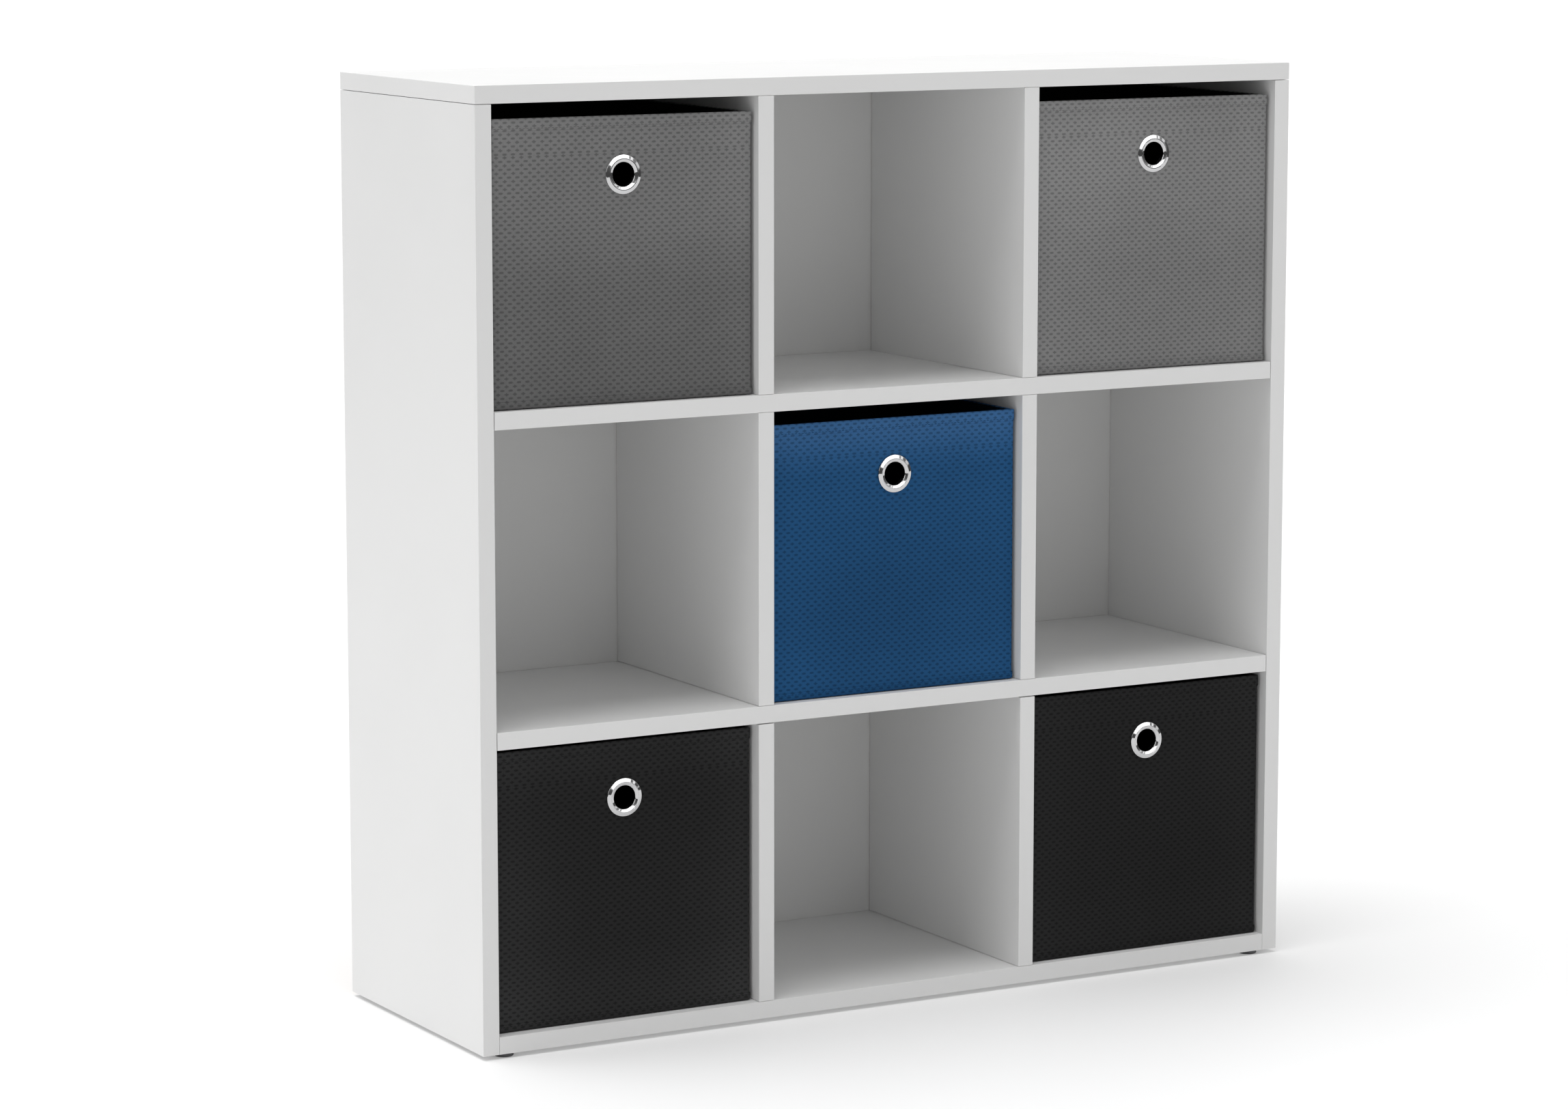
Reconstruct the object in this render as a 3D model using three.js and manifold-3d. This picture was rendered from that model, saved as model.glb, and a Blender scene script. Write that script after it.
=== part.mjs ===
// Cube storage unit: a carcass of boards, three cells wide and three high, on four glides, with five
// open-topped fabric boxes that slide out of their cells. Each box has a loose board in its base and a
// metal finger eyelet. Millimetres, +X to the right, -Y to the front, +Z up, origin on the floor under
// the middle of the carcass.
import * as THREE from 'three';
import { mergeVertices } from 'three/addons/utils/BufferGeometryUtils.js';
import Module from 'manifold-3d';

const wasm = await Module();
wasm.setup();

// Driving dimensions of the carcass.
const BOARD = 18;
const BACK_BOARD = 3;
const CELL_WIDTH = 300;
const UPPER_CELL_HEIGHT = 304.5;
const LOWER_CELL_HEIGHT = 294;
const DEPTH = 318;
const FOOT_HEIGHT = 4.5;
const FOOT_RADIUS = 10;
const FOOT_INSET_X = 29;
const FOOT_INSET_Y = 13;
const FOOT_CHAMFER = 1.2;
const NAIL_RADIUS = 1;
const NAIL_LENGTH = 11;
const NAIL_POINT = 2;

// Clearances. GAP is left wherever two pieces touch; the others are joints wide enough to be seen.
const GAP = 0.3;
const TOP_JOINT = 0.6;
const SHELF_END_GAP = 0.8;
const SHORT_DIVIDER_HEAD_GAP = 1.1;
const POKE = 1;

// The rebate that the back board lies in.
const REBATE_WIDTH = 9;
const REBATE_DEPTH = BACK_BOARD + GAP;

// Knock-down fittings: cam discs, cam bolts and dowels, measured from the plane where two boards meet.
const CAM_RADIUS = 7.5;
const CAM_LENGTH = 12.5;
const CAM_SETBACK = 24;
const CAM_RECESS = 0.2;
const BOLT_THREAD = { radius: 2.5, length: 10.5 };
const BOLT_COLLAR = { radius: 3.5, length: 2 };
const BOLT_NECK = { radius: 2.2, length: 19 };
const BOLT_HEAD = { radius: 3.5, length: 5 };
const DOWEL_RADIUS = 4;
const DOWEL_IN_FACE = 10;
const DOWEL_IN_EDGE = 20;
const DOWEL_CHAMFER = 0.8;
const BOLT_Y = 109;
const DOWEL_Y = 77;
const TALL_DIVIDER_DOWEL_Y = 110;
const SHORT_DIVIDER_DOWEL_Y = 70;
const CAM_CROSS = { halfLength: 4.2, halfWidth: 0.9, depth: 2.4 };

// Driving dimensions of a fabric box, over its hems, and of its eyelet.
const BOX_WIDTH = 294;
const BOX_DEPTH = 292;
const BOX_HEIGHT = 288.5;
const BOX_WALL = 3;
const RIM_HEM_HEIGHT = 12;
const FOOT_HEM_HEIGHT = 8;
const HEM_PROUD = 1;
const BOX_CORNER_RADIUS = 1.5;
const BOX_INNER_RADIUS = 1;
const INSERT_CORNER_RADIUS = 2;
const INSERT_THICKNESS = 3.5;
const INSERT_CLEARANCE = 2.5;
const EYELET_DROP = 59;
const EYELET_RADIUS = 19.75;
const EYELET_HOLE_RADIUS = 12.2;
const EYELET_BARREL_RADIUS = 13.2;
const EYELET_SHEET = 0.8;
const EYELET_EDGE_HEIGHT = 0.8;
const EYELET_CROWN = { outer: 16.1, inner: 15.3, height: 2.1 };
const EYELET_GROOVE = { radius: 15.7, height: 1.8 };
const EYELET_MOUTH_HEIGHT = 0.9;
const EYELET_ROLL_RADIUS = 16;
const WASHER_RADIUS = 18.5;

// How round the round pieces are.
const FINE_SIDES = 20;
const CAM_SIDES = 18;
const ROD_SIDES = 10;
const CORNER_STEPS = 3;

// Levels and places that follow from the dimensions, from the underside of the carcass.
const WIDTH = 4 * BOARD + 3 * CELL_WIDTH;
const PITCH = CELL_WIDTH + BOARD;
const HALF_WIDTH = WIDTH / 2;
const HALF_INSIDE = HALF_WIDTH - BOARD;
const FRONT = -DEPTH / 2;
const REAR = DEPTH / 2;
const INNER_REAR = REAR - REBATE_DEPTH - GAP;
const BOTTOM_TOP = BOARD;
const LOWER_SHELF = BOTTOM_TOP + LOWER_CELL_HEIGHT;
const LOWER_SHELF_TOP = LOWER_SHELF + BOARD;
const UPPER_SHELF = LOWER_SHELF_TOP + UPPER_CELL_HEIGHT;
const UPPER_SHELF_TOP = UPPER_SHELF + BOARD;
const TOP = UPPER_SHELF_TOP + UPPER_CELL_HEIGHT;
const TOP_TOP = TOP + BOARD;
const DIVIDER_X = PITCH / 2;
const LAP = (FRONT + INNER_REAR) / 2;
const BLIND = DOWEL_IN_FACE + POKE;
const SIGNS = [-1, 1];

// Materials.
const finish = (color, roughness, metalness = 0) =>
  new THREE.MeshStandardMaterial({ color, roughness, metalness });
const melamine = () => finish(0xf1f1ef, 0.42);
const backFace = () => finish(0xe9e9e6, 0.6);
const beech = () => finish(0xd2b48a, 0.7);
const zinc = () => finish(0xb9bcc0, 0.35, 1);
const steel = () => finish(0xc8c9cb, 0.3, 1);
const darkPlastic = () => finish(0x2a2a2c, 0.55);
const chrome = () => finish(0xdfe1e3, 0.1, 1);
const greyFabric = () => finish(0x646464, 0.95);
const blueFabric = () => finish(0x234f7c, 0.95);
const blackFabric = () => finish(0x262627, 0.95);
const insertBoard = () => finish(0x19191b, 0.9);

// A closed three.js geometry as a manifold solid.
function solid(geometry) {
  geometry.deleteAttribute('normal');
  geometry.deleteAttribute('uv');
  const merged = mergeVertices(geometry);
  const mesh = new wasm.Mesh({
    numProp: 3,
    vertProperties: new Float32Array(merged.attributes.position.array),
    triVerts: new Uint32Array(merged.index.array),
  });
  return new wasm.Manifold(mesh);
}

// A manifold solid as a three.js geometry.
function geometryOf(body) {
  const mesh = body.getMesh();
  const geometry = new THREE.BufferGeometry();
  geometry.setAttribute('position', new THREE.BufferAttribute(mesh.vertProperties, 3));
  geometry.setIndex(new THREE.BufferAttribute(mesh.triVerts, 1));
  geometry.computeVertexNormals();
  return geometry;
}

// A rectangular block between two corners.
function block([x0, y0, z0], [x1, y1, z1]) {
  const geometry = new THREE.BoxGeometry(x1 - x0, y1 - y0, z1 - z0);
  geometry.translate((x0 + x1) / 2, (y0 + y1) / 2, (z0 + z1) / 2);
  return solid(geometry);
}

// A closed outline turned about +Z. Its points are [radius, height].
function turned(points, sides) {
  const outline = points.map(([radius, height]) => new THREE.Vector2(radius, height));
  const geometry = new THREE.LatheGeometry(outline, sides);
  geometry.rotateX(Math.PI / 2);
  return geometry;
}

// The turn that takes +Z onto a direction.
function turnTo(direction) {
  const up = new THREE.Vector3(0, 0, 1);
  return new THREE.Quaternion().setFromUnitVectors(up, new THREE.Vector3(...direction));
}

// A plain round hole, from a point on a face into the board, that starts just outside the face.
function drill(radius, from, direction, depth, sides = ROD_SIDES) {
  const geometry = new THREE.CylinderGeometry(radius, radius, depth + POKE, sides);
  geometry.rotateX(Math.PI / 2);
  geometry.translate(0, 0, (depth - POKE) / 2);
  geometry.applyQuaternion(turnTo(direction));
  geometry.translate(...from);
  return solid(geometry);
}

// A chamfered dowel that stands out of an edge it is glued into.
function gluedDowel(from, direction) {
  const tip = DOWEL_IN_FACE;
  const geometry = turned([
    [0, -POKE],
    [DOWEL_RADIUS, -POKE],
    [DOWEL_RADIUS, tip - DOWEL_CHAMFER],
    [DOWEL_RADIUS - DOWEL_CHAMFER, tip],
    [0, tip],
  ], ROD_SIDES);
  geometry.applyQuaternion(turnTo(direction));
  geometry.translate(...from);
  return solid(geometry);
}

const cut = (body, tools) => tools.reduce((rest, tool) => rest.subtract(tool), body);
const join = (body, pieces) => pieces.reduce((whole, piece) => whole.add(piece), body);
const dowelHole = (from, direction, depth = BLIND) =>
  drill(DOWEL_RADIUS + GAP, from, direction, depth);

const unit = new THREE.Group();
const carcass = new THREE.Group();
carcass.position.z = FOOT_HEIGHT;
unit.add(carcass);

function addPiece(group, name, geometry, material) {
  const mesh = new THREE.Mesh(geometry, material);
  mesh.name = name;
  group.add(mesh);
  return mesh;
}

const addBoard = (name, body, material = melamine()) =>
  addPiece(carcass, name, geometryOf(body), material);

// Boards.

function sidePanel(side) {
  const inside = side * HALF_INSIDE;
  const outside = side * HALF_WIDTH;
  const head = TOP - TOP_JOINT;
  const left = Math.min(inside, outside);
  const right = Math.max(inside, outside);
  const middle = (inside + outside) / 2;
  const into = [side, 0, 0];
  const down = [0, 0, -1];
  const rebateEdge = side * (HALF_INSIDE + REBATE_WIDTH);
  const rebateInner = side * (HALF_INSIDE - POKE);
  const rebate = block(
    [Math.min(rebateEdge, rebateInner), REAR - REBATE_DEPTH, BOTTOM_TOP - REBATE_WIDTH],
    [Math.max(rebateEdge, rebateInner), REAR + POKE, TOP + POKE],
  );
  const tools = [rebate];
  for (const end of SIGNS) {
    const boltY = end * BOLT_Y;
    const dowelY = end * DOWEL_Y;
    tools.push(drill(CAM_RADIUS + GAP, [inside, boltY, TOP - CAM_SETBACK], into,
      CAM_RECESS + CAM_LENGTH + GAP, CAM_SIDES));
    tools.push(drill(BOLT_COLLAR.radius + GAP, [middle, boltY, head], down,
      CAM_SETBACK - CAM_RADIUS + BOLT_HEAD.length - TOP_JOINT));
    tools.push(dowelHole([middle, dowelY, head], down, DOWEL_IN_EDGE + GAP));
    tools.push(drill(BOLT_THREAD.radius + GAP, [inside, boltY, BOARD / 2], into,
      BOLT_THREAD.length + GAP));
    for (const z of [BOARD / 2, LOWER_SHELF + BOARD / 2, UPPER_SHELF + BOARD / 2]) {
      tools.push(dowelHole([inside, dowelY, z], into));
    }
  }
  return cut(block([left, FRONT, 0], [right, REAR, head]), tools);
}

function topPanel() {
  const up = [0, 0, 1];
  const rebateHalf = HALF_INSIDE + REBATE_WIDTH;
  const tools = [block(
    [-rebateHalf, REAR - REBATE_DEPTH, TOP - POKE],
    [rebateHalf, REAR + POKE, TOP + REBATE_WIDTH],
  )];
  const sideX = HALF_WIDTH - BOARD / 2;
  for (const side of SIGNS) {
    for (const end of SIGNS) {
      tools.push(drill(BOLT_THREAD.radius + GAP, [side * sideX, end * BOLT_Y, TOP], up,
        BOLT_THREAD.length + GAP));
      tools.push(dowelHole([side * sideX, end * DOWEL_Y, TOP], up));
      tools.push(dowelHole([side * DIVIDER_X, end * TALL_DIVIDER_DOWEL_Y, TOP], up));
    }
  }
  return cut(block([-HALF_WIDTH, FRONT, TOP], [HALF_WIDTH, REAR, TOP_TOP]), tools);
}

function bottomPanel() {
  const half = HALF_INSIDE - GAP;
  const tools = [block(
    [-HALF_WIDTH, REAR - REBATE_DEPTH, BOTTOM_TOP - REBATE_WIDTH],
    [HALF_WIDTH, REAR + POKE, BOTTOM_TOP + POKE],
  )];
  const up = [0, 0, 1];
  for (const side of SIGNS) {
    const inward = [-side, 0, 0];
    for (const end of SIGNS) {
      tools.push(drill(CAM_RADIUS + GAP, [side * (HALF_INSIDE - CAM_SETBACK), end * BOLT_Y, 0], up,
        CAM_RECESS + CAM_LENGTH + GAP, CAM_SIDES));
      tools.push(drill(BOLT_COLLAR.radius + GAP, [side * half, end * BOLT_Y, BOARD / 2], inward,
        CAM_SETBACK - CAM_RADIUS + BOLT_HEAD.length));
      tools.push(dowelHole([side * half, end * DOWEL_Y, BOARD / 2], inward, DOWEL_IN_EDGE + GAP));
      tools.push(dowelHole([side * DIVIDER_X, end * SHORT_DIVIDER_DOWEL_Y, BOTTOM_TOP], [0, 0, -1]));
      tools.push(drill(NAIL_RADIUS + GAP,
        [side * (HALF_WIDTH - FOOT_INSET_X), end * (REAR - FOOT_INSET_Y), 0], up, NAIL_LENGTH + GAP));
    }
  }
  return cut(block([-half, FRONT, 0], [half, REAR, BOTTOM_TOP]), tools);
}

// A shelf from side to side, with a glued pair of dowels at each end.
function shelf(bottom) {
  const half = HALF_INSIDE - SHELF_END_GAP;
  const body = block([-half, FRONT, bottom], [half, INNER_REAR, bottom + BOARD]);
  const dowels = [];
  for (const side of SIGNS) {
    for (const end of SIGNS) {
      dowels.push(gluedDowel([side * half, end * DOWEL_Y, bottom + BOARD / 2], [side, 0, 0]));
    }
  }
  return join(body, dowels);
}

// The upper shelf is slotted from the back, and the tall dividers from the front, so they cross flush.
function upperShelf() {
  const half = BOARD / 2 + GAP;
  const slots = SIGNS.map((side) => block(
    [side * DIVIDER_X - half, LAP, UPPER_SHELF - POKE],
    [side * DIVIDER_X + half, REAR, UPPER_SHELF_TOP + POKE],
  ));
  return cut(shelf(UPPER_SHELF), slots);
}

function lowerShelf() {
  const holes = [];
  for (const side of SIGNS) {
    for (const end of SIGNS) {
      const x = side * DIVIDER_X;
      holes.push(dowelHole([x, end * TALL_DIVIDER_DOWEL_Y, LOWER_SHELF_TOP], [0, 0, -1]));
      holes.push(dowelHole([x, end * SHORT_DIVIDER_DOWEL_Y, LOWER_SHELF], [0, 0, 1]));
    }
  }
  return cut(shelf(LOWER_SHELF), holes);
}

// An upright board between two levels, with a glued pair of dowels at its head and its foot.
function divider(x, foot, head, dowelY) {
  const body = block([x - BOARD / 2, FRONT, foot], [x + BOARD / 2, INNER_REAR, head]);
  const dowels = [];
  for (const end of SIGNS) {
    dowels.push(gluedDowel([x, end * dowelY, foot], [0, 0, -1]));
    dowels.push(gluedDowel([x, end * dowelY, head], [0, 0, 1]));
  }
  return join(body, dowels);
}

function tallDivider(x) {
  const body = divider(x, LOWER_SHELF_TOP + GAP, TOP - GAP, TALL_DIVIDER_DOWEL_Y);
  const slot = block(
    [x - BOARD, FRONT - POKE, UPPER_SHELF - GAP],
    [x + BOARD, LAP + GAP, UPPER_SHELF_TOP + GAP],
  );
  return cut(body, [slot]);
}

const shortDivider = (x) =>
  divider(x, BOTTOM_TOP + GAP, LOWER_SHELF - SHORT_DIVIDER_HEAD_GAP, SHORT_DIVIDER_DOWEL_Y);

function backPanel() {
  const half = HALF_INSIDE + REBATE_WIDTH - GAP;
  return block(
    [-half, REAR - BACK_BOARD, BOTTOM_TOP - REBATE_WIDTH + GAP],
    [half, REAR, TOP + REBATE_WIDTH - GAP],
  );
}

addBoard('top_panel', topPanel());
addBoard('left_side_panel', sidePanel(-1));
addBoard('right_side_panel', sidePanel(1));
addBoard('bottom_panel', bottomPanel());
addBoard('upper_shelf', upperShelf());
addBoard('lower_shelf', lowerShelf());
addBoard('tall_divider_left', tallDivider(-DIVIDER_X));
addBoard('tall_divider_right', tallDivider(DIVIDER_X));
addBoard('short_divider_left', shortDivider(-DIVIDER_X));
addBoard('short_divider_right', shortDivider(DIVIDER_X));
addBoard('back_panel', backPanel(), backFace());

// Glides: a round plastic pad with a nail moulded in, driven into the bottom panel.

function glideGeometry() {
  const pad = FOOT_HEIGHT - GAP;
  return turned([
    [0, 0],
    [FOOT_RADIUS - FOOT_CHAMFER, 0],
    [FOOT_RADIUS, FOOT_CHAMFER],
    [FOOT_RADIUS, pad],
    [NAIL_RADIUS, pad],
    [NAIL_RADIUS, FOOT_HEIGHT + NAIL_LENGTH - NAIL_POINT],
    [0, FOOT_HEIGHT + NAIL_LENGTH],
  ], FINE_SIDES);
}

for (const [along, front] of [['front', -1], ['rear', 1]]) {
  for (const [across, side] of [['left', -1], ['right', 1]]) {
    const foot = addPiece(unit, `foot_${along}_${across}`, glideGeometry(), darkPlastic());
    foot.position.set(side * (HALF_WIDTH - FOOT_INSET_X), front * (REAR - FOOT_INSET_Y), 0);
  }
}

// Fittings. In its own frame a cam's face looks along +Z and its mouth, for the bolt, along +X.

function camGeometry() {
  const depth = BOARD / 2 - CAM_RECESS;
  const mouth = BOLT_HEAD.radius + GAP;
  const reach = BOLT_HEAD.length / 2 + GAP;
  const { halfLength, halfWidth, depth: crossDepth } = CAM_CROSS;
  const disc = turned([[0, -CAM_LENGTH], [CAM_RADIUS, -CAM_LENGTH], [CAM_RADIUS, 0], [0, 0]], CAM_SIDES);
  const body = cut(solid(disc), [
    block([-reach, -mouth, -CAM_LENGTH - POKE], [CAM_RADIUS + POKE, mouth, mouth - depth]),
    block([-halfLength, -halfWidth, -crossDepth], [halfLength, halfWidth, POKE]),
    block([-halfWidth, -halfLength, -crossDepth], [halfWidth, halfLength, POKE]),
  ]);
  return geometryOf(body);
}

// A bolt's thread points along +Z from the plane where the boards meet; its head ends in the cam.
function boltGeometry() {
  const collar = -BOLT_COLLAR.length;
  const neck = collar - BOLT_NECK.length;
  const head = neck - BOLT_HEAD.length;
  return turned([
    [0, head],
    [BOLT_HEAD.radius, head],
    [BOLT_HEAD.radius, neck],
    [BOLT_NECK.radius, neck],
    [BOLT_NECK.radius, collar],
    [BOLT_COLLAR.radius, collar],
    [BOLT_COLLAR.radius, -GAP],
    [BOLT_THREAD.radius, -GAP],
    [BOLT_THREAD.radius, BOLT_THREAD.length],
    [0, BOLT_THREAD.length],
  ], ROD_SIDES);
}

function dowelGeometry() {
  const slim = DOWEL_RADIUS - DOWEL_CHAMFER;
  return turned([
    [0, -DOWEL_IN_EDGE],
    [slim, -DOWEL_IN_EDGE],
    [DOWEL_RADIUS, -DOWEL_IN_EDGE + DOWEL_CHAMFER],
    [DOWEL_RADIUS, DOWEL_IN_FACE - DOWEL_CHAMFER],
    [slim, DOWEL_IN_FACE],
    [0, DOWEL_IN_FACE],
  ], ROD_SIDES);
}

// Points a piece's own +Z and +X along two directions at right angles.
function aim(mesh, zAxis, xAxis) {
  const z = new THREE.Vector3(...zAxis);
  const x = new THREE.Vector3(...xAxis);
  const y = new THREE.Vector3().crossVectors(z, x);
  mesh.quaternion.setFromRotationMatrix(new THREE.Matrix4().makeBasis(x, y, z));
}

// One corner of the carcass at one end: the bolts point ahead into the neighbour's face.
function addFittings(place, end, { origin, ahead, camAt, camFaces }) {
  const bolt = addPiece(carcass, `cam_bolt_${place}`, boltGeometry(), steel());
  bolt.quaternion.copy(turnTo(ahead));
  bolt.position.set(origin[0], end * BOLT_Y, origin[1]);
  const dowel = addPiece(carcass, `dowel_${place}`, dowelGeometry(), beech());
  dowel.quaternion.copy(turnTo(ahead));
  dowel.position.set(origin[0], end * DOWEL_Y, origin[1]);
  const cam = addPiece(carcass, `cam_${place}`, camGeometry(), zinc());
  aim(cam, camFaces, ahead);
  cam.position.set(camAt[0], end * BOLT_Y, camAt[1]);
}

for (const [along, end] of [['front', -1], ['rear', 1]]) {
  for (const [across, side] of [['left', -1], ['right', 1]]) {
    addFittings(`top_${along}_${across}`, end, {
      origin: [side * (HALF_WIDTH - BOARD / 2), TOP],
      ahead: [0, 0, 1],
      camAt: [side * (HALF_INSIDE + CAM_RECESS), TOP - CAM_SETBACK],
      camFaces: [-side, 0, 0],
    });
    addFittings(`bottom_${along}_${across}`, end, {
      origin: [side * HALF_INSIDE, BOARD / 2],
      ahead: [side, 0, 0],
      camAt: [side * (HALF_INSIDE - CAM_SETBACK), CAM_RECESS],
      camFaces: [0, 0, -1],
    });
  }
}

// Fabric boxes. Each one's own origin is the middle of its underside's front edge.

// A rectangle with round corners, centred on x and running back from y0, raised from z0 to z1.
function roundedPrism(width, y0, y1, radius, z0, z1) {
  const shape = new THREE.Shape();
  const half = width / 2;
  shape.moveTo(-half + radius, y0);
  shape.lineTo(half - radius, y0);
  shape.absarc(half - radius, y0 + radius, radius, -Math.PI / 2, 0);
  shape.lineTo(half, y1 - radius);
  shape.absarc(half - radius, y1 - radius, radius, 0, Math.PI / 2);
  shape.lineTo(-half + radius, y1);
  shape.absarc(-half + radius, y1 - radius, radius, Math.PI / 2, Math.PI);
  shape.lineTo(-half, y0 + radius);
  shape.absarc(-half + radius, y0 + radius, radius, Math.PI, 1.5 * Math.PI);
  const geometry = new THREE.ExtrudeGeometry(shape, {
    depth: z1 - z0,
    bevelEnabled: false,
    curveSegments: CORNER_STEPS,
  });
  geometry.translate(0, 0, z0);
  return geometry;
}

const EYELET_HEIGHT = BOX_HEIGHT - EYELET_DROP;
const WALL_FRONT = HEM_PROUD;
const WALL_INSIDE = WALL_FRONT + BOX_WALL;
const INSIDE_WIDTH = BOX_WIDTH - 2 * WALL_INSIDE;

// The shell is one sewn piece: four walls and a base, with a hem round its foot and its rim.
function shellGeometry() {
  const walls = solid(roundedPrism(BOX_WIDTH - 2 * HEM_PROUD, HEM_PROUD, BOX_DEPTH - HEM_PROUD,
    BOX_CORNER_RADIUS, FOOT_HEM_HEIGHT / 2, BOX_HEIGHT - RIM_HEM_HEIGHT / 2));
  const hemRadius = BOX_CORNER_RADIUS + HEM_PROUD;
  const footHem = solid(roundedPrism(BOX_WIDTH, 0, BOX_DEPTH, hemRadius, 0, FOOT_HEM_HEIGHT));
  const rimHem = solid(roundedPrism(BOX_WIDTH, 0, BOX_DEPTH, hemRadius,
    BOX_HEIGHT - RIM_HEM_HEIGHT, BOX_HEIGHT));
  const inside = solid(roundedPrism(INSIDE_WIDTH, WALL_INSIDE, BOX_DEPTH - WALL_INSIDE,
    BOX_INNER_RADIUS, BOX_WALL, BOX_HEIGHT + POKE));
  const fingerHole = drill(EYELET_BARREL_RADIUS + GAP, [0, WALL_FRONT, EYELET_HEIGHT], [0, 1, 0],
    BOX_WALL + POKE, FINE_SIDES);
  return geometryOf(cut(join(walls, [footHem, rimHem]), [inside, fingerHole]));
}

// The loose board in the base, small enough to lift out past the eyelet's rolled edge.
function insertGeometry() {
  const inset = WALL_INSIDE + INSERT_CLEARANCE;
  return roundedPrism(INSIDE_WIDTH - 2 * INSERT_CLEARANCE, inset, BOX_DEPTH - inset,
    INSERT_CORNER_RADIUS, 0, INSERT_THICKNESS);
}

// The eyelet's flange lies on the wall, at 0. Its face slopes outward and inward from a grooved crown, and
// its barrel is rolled over the washer behind the wall.
const WASHER_FRONT = -BOX_WALL - GAP;
const WASHER_BACK = WASHER_FRONT - EYELET_SHEET;
const ROLL_FRONT = WASHER_BACK - GAP;
const ROLL_BACK = ROLL_FRONT - EYELET_SHEET;

function eyeletGeometry() {
  const points = [
    [EYELET_HOLE_RADIUS, ROLL_BACK],
    [EYELET_ROLL_RADIUS, ROLL_BACK],
    [EYELET_ROLL_RADIUS, ROLL_FRONT],
    [EYELET_BARREL_RADIUS, ROLL_FRONT],
    [EYELET_BARREL_RADIUS, GAP],
    [EYELET_RADIUS, GAP],
    [EYELET_RADIUS, EYELET_EDGE_HEIGHT],
    [EYELET_CROWN.outer, EYELET_CROWN.height],
    [EYELET_GROOVE.radius, EYELET_GROOVE.height],
    [EYELET_CROWN.inner, EYELET_CROWN.height],
    [EYELET_HOLE_RADIUS, EYELET_MOUTH_HEIGHT],
    [EYELET_HOLE_RADIUS, ROLL_BACK],
  ];
  return turned(points, FINE_SIDES);
}

function washerGeometry() {
  const hole = EYELET_BARREL_RADIUS + GAP;
  const points = [
    [hole, WASHER_BACK],
    [WASHER_RADIUS, WASHER_BACK],
    [WASHER_RADIUS, WASHER_FRONT],
    [hole, WASHER_FRONT],
    [hole, WASHER_BACK],
  ];
  return turned(points, FINE_SIDES);
}

function addBox(name, column, floor, pushedIn, fabric) {
  const box = new THREE.Group();
  box.position.set(column * PITCH, FRONT + pushedIn, floor + GAP);
  carcass.add(box);
  addPiece(box, `${name}_shell`, shellGeometry(), fabric);
  const insert = addPiece(box, `${name}_base_insert`, insertGeometry(), insertBoard());
  insert.position.z = BOX_WALL + GAP;
  const metalwork = [
    addPiece(box, `${name}_eyelet_ring`, eyeletGeometry(), chrome()),
    addPiece(box, `${name}_eyelet_washer`, washerGeometry(), chrome()),
  ];
  for (const piece of metalwork) {
    piece.quaternion.copy(turnTo([0, -1, 0]));
    piece.position.set(0, WALL_FRONT, EYELET_HEIGHT);
  }
}

// Column, floor of the cell, how far behind the front edges the box stands, and its fabric.
addBox('box_top_left', -1, UPPER_SHELF_TOP, 7.5, greyFabric());
addBox('box_top_right', 1, UPPER_SHELF_TOP, 8.5, greyFabric());
addBox('box_centre', 0, LOWER_SHELF_TOP, 10, blueFabric());
addBox('box_bottom_left', -1, BOTTOM_TOP, 12, blackFabric());
addBox('box_bottom_right', 1, BOTTOM_TOP, 9.5, blackFabric());

export default unit;
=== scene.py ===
"""Looks of the cube storage unit: its boards, glides and fittings, and five fabric boxes with eyelets."""
import math

import bmesh
import bpy
from mathutils import Matrix, Vector, noise


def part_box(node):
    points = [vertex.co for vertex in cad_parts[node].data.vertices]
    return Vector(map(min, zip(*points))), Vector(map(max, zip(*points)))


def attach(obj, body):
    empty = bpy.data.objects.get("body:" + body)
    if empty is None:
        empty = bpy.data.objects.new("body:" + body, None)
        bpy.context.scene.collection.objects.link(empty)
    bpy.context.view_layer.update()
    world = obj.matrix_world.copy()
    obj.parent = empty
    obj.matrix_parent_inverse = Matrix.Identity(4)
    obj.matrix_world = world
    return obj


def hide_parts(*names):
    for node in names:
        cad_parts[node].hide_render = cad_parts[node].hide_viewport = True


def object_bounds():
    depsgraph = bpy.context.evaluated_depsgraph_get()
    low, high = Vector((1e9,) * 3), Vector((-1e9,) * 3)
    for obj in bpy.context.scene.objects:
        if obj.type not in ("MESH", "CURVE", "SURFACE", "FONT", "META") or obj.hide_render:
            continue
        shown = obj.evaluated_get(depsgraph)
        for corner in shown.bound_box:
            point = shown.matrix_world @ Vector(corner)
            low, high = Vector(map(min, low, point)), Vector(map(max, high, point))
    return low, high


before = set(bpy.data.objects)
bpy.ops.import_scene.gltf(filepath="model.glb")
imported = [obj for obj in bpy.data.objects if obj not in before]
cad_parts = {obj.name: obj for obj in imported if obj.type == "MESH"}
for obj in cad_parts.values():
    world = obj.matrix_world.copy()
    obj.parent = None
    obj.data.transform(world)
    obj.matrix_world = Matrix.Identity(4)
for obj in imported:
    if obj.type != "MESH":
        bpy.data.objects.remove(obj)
cad_low, cad_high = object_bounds()

MM = 0.001

# The camera, as it stands to the unit, and its lens on a 36 mm sensor.
CAMERA_PLACE = (-2.538, -4.402, 1.226)
CAMERA_YAW = math.radians(29.49)
CAMERA_PITCH = math.radians(-8.578)
CAMERA_LENS = 110.17
SENSOR_WIDTH = 36.0

# Studio light: how bright the world is as the background, below the horizon, at it and high up.
BACKDROP = 1.1
AMBIENT_BELOW = 1.0
AMBIENT_LOW = 0.485
AMBIENT_HIGH = 0.50
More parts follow.
